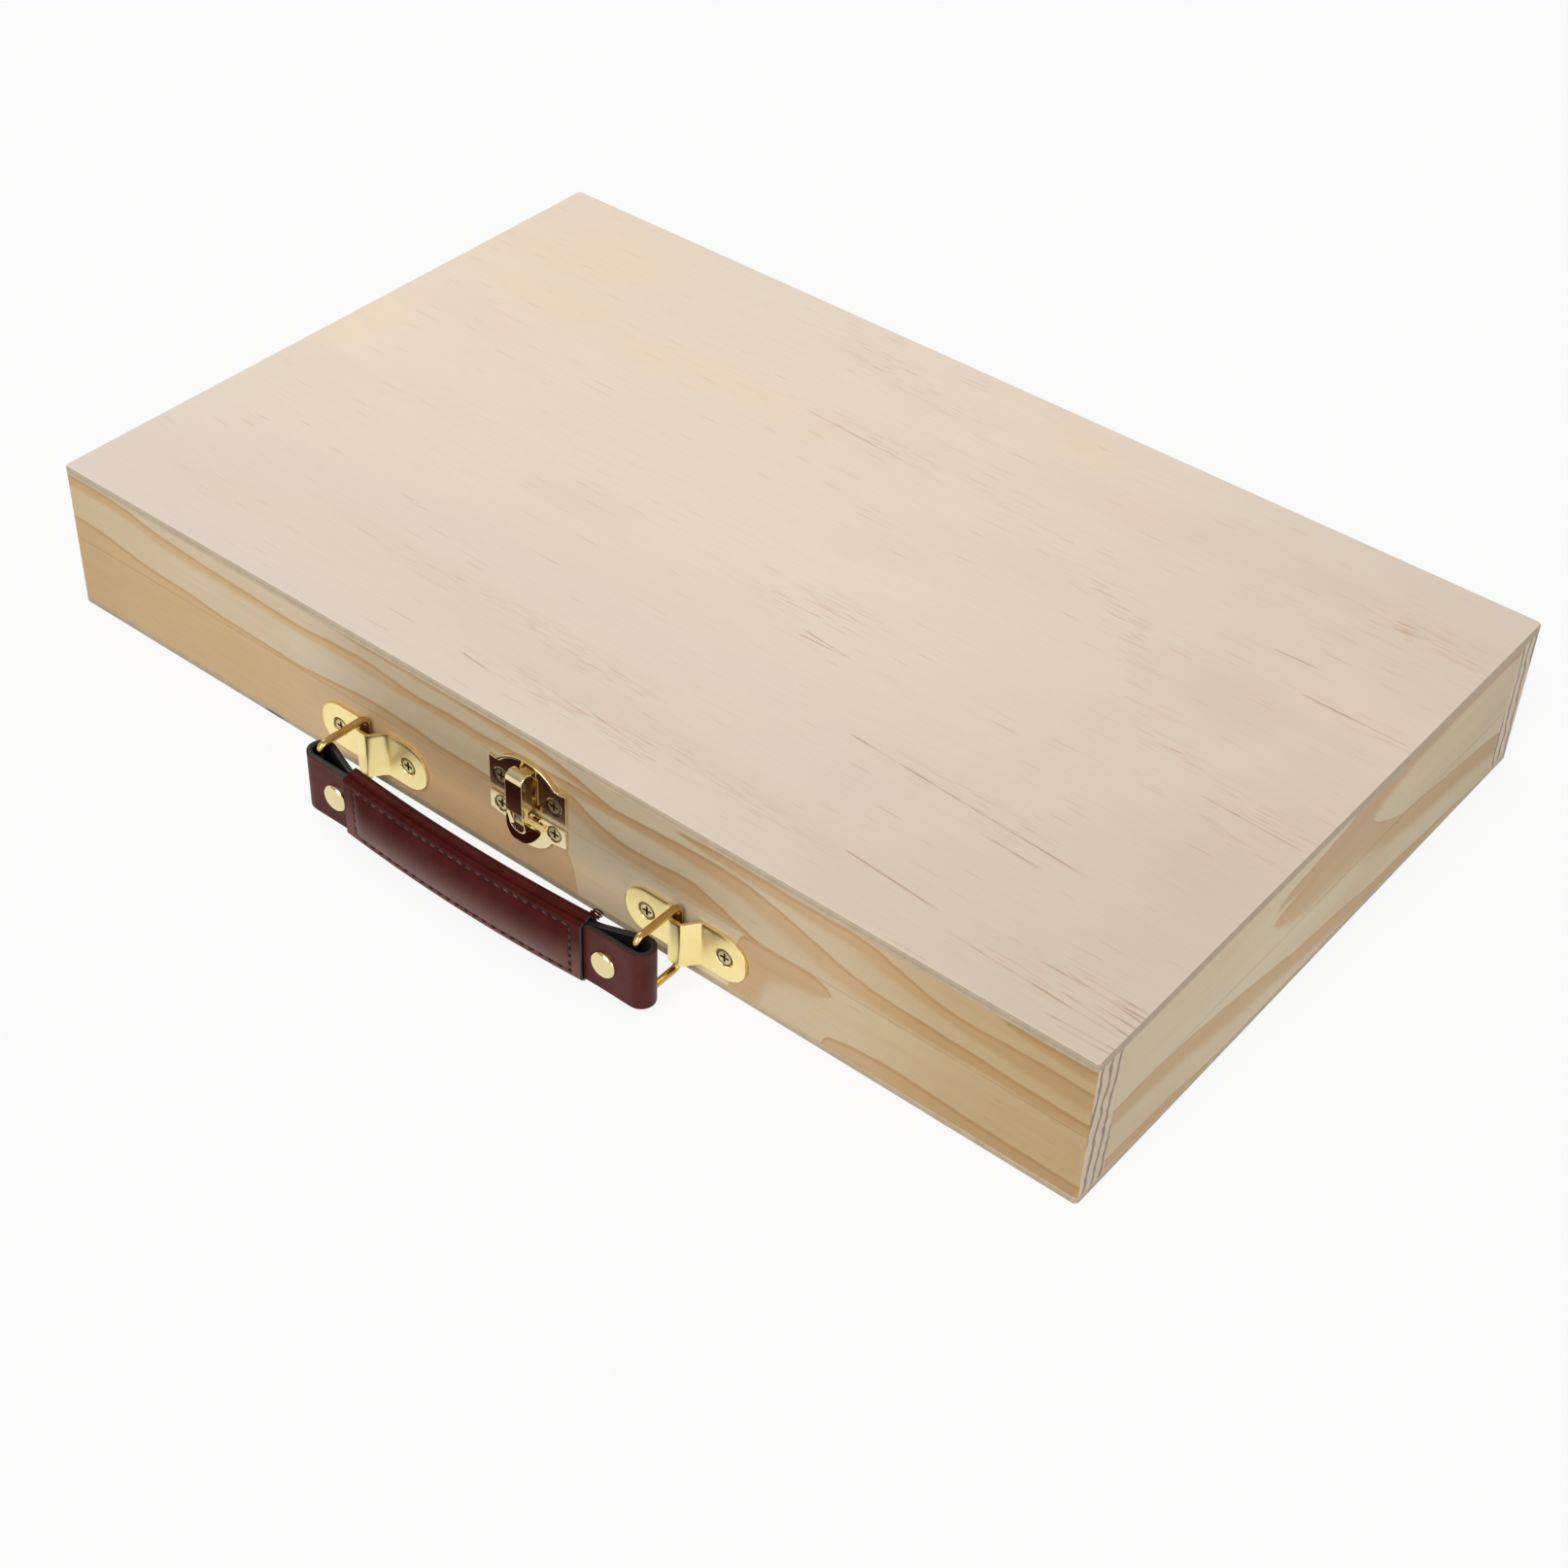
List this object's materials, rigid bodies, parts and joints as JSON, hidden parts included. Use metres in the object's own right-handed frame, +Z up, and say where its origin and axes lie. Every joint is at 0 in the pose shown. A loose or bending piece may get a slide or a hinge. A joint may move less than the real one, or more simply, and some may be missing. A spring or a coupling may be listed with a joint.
{
  "type": "brush box",
  "caption": "Shallow hinged wooden brush box with a front flap latch and a stitched leather handle on two wire rings.",
  "frame": {"origin": "centre of the case's bottom face, midway along its length and depth", "axes": "+X along the front to the viewer's right, +Y from the front to the back, +Z up"},
  "size_m": [0.36, 0.2501, 0.049],
  "materials": {
    "board_wood": "planed softwood, clear satin lacquer",
    "panel_plywood": "thin plywood, pale face veneer, clear satin lacquer",
    "bracket_brass": "pressed sheet, pale brass plating, satin",
    "wire_brass": "round wire, dark gold brass plating, bright",
    "screw_brass": "brass-plated cross-head wood screw",
    "latch_brass": "pressed sheet, bright brass plating",
    "hinge_brass": "pressed sheet, brass plating",
    "rivet_brass": "polished domed rivet, brass plating",
    "strap_leather": "burgundy-brown leather, dark painted edges",
    "sleeve_leather": "burgundy-brown leather, raw split edges and stitching"
  },
  "bodies": {
    "base": {"base_front_board": "board_wood", "base_back_board": "board_wood", "base_left_board": "board_wood", "base_right_board": "board_wood", "base_bottom_panel": "panel_plywood", "left_handle_bracket": "bracket_brass", "right_handle_bracket": "bracket_brass", "bracket_screws": "screw_brass", "latch_base_plate": "latch_brass", "latch_base_screws": "screw_brass", "left_hinge_base_leaf": "hinge_brass", "right_hinge_base_leaf": "hinge_brass", "left_hinge_pin": "hinge_brass", "right_hinge_pin": "hinge_brass", "hinge_base_screws": "screw_brass"},
    "lid": {"lid_front_board": "board_wood", "lid_back_board": "board_wood", "lid_left_board": "board_wood", "lid_right_board": "board_wood", "lid_top_panel": "panel_plywood", "latch_lid_plate": "latch_brass", "latch_lid_screws": "screw_brass", "latch_pin": "latch_brass", "left_hinge_lid_leaf": "hinge_brass", "right_hinge_lid_leaf": "hinge_brass", "hinge_lid_screws": "screw_brass"},
    "latch_flap": {"latch_flap": "latch_brass"},
    "left_ring": {"left_ring": "wire_brass"},
    "handle": {"handle_strap": "strap_leather", "handle_sleeve": "sleeve_leather", "handle_rivets": "rivet_brass"},
    "right_ring": {"right_ring": "wire_brass"}
  },
  "joints": [
    {"name": "lid_hinge", "type": "hinge", "parent": "base", "child": "lid", "pos_m": [0, 0.1126, 0.0242], "axis": [-1, 0, 0], "range_deg": [0, 110]},
    {"name": "latch_hinge", "type": "hinge", "parent": "lid", "child": "latch_flap", "pos_m": [0.00275, -0.1143, 0.0362], "axis": [-1, 0, 0], "range_deg": [-1.5, 22]},
    {"name": "left_ring_hinge", "type": "hinge", "parent": "base", "child": "left_ring", "pos_m": [-0.0569, -0.1123, 0.0121], "axis": [0, 0, 1], "range_deg": [-45, 45]},
    {"name": "handle_hinge", "type": "hinge", "parent": "left_ring", "child": "handle", "pos_m": [-0.05762, -0.12888, 0.0121], "axis": [0, 0, 1], "range_deg": [-45, 45]},
    {"name": "right_ring_hinge", "type": "hinge", "parent": "base", "child": "right_ring", "pos_m": [0.0561, -0.1123, 0.0121], "axis": [0, 0, 1], "range_deg": [-45, 45]}
  ],
  "couplings": [
    {"joint": "handle_hinge", "follows": "left_ring_hinge", "ratio": -1},
    {"joint": "right_ring_hinge", "follows": "left_ring_hinge", "ratio": 1}
  ]
}
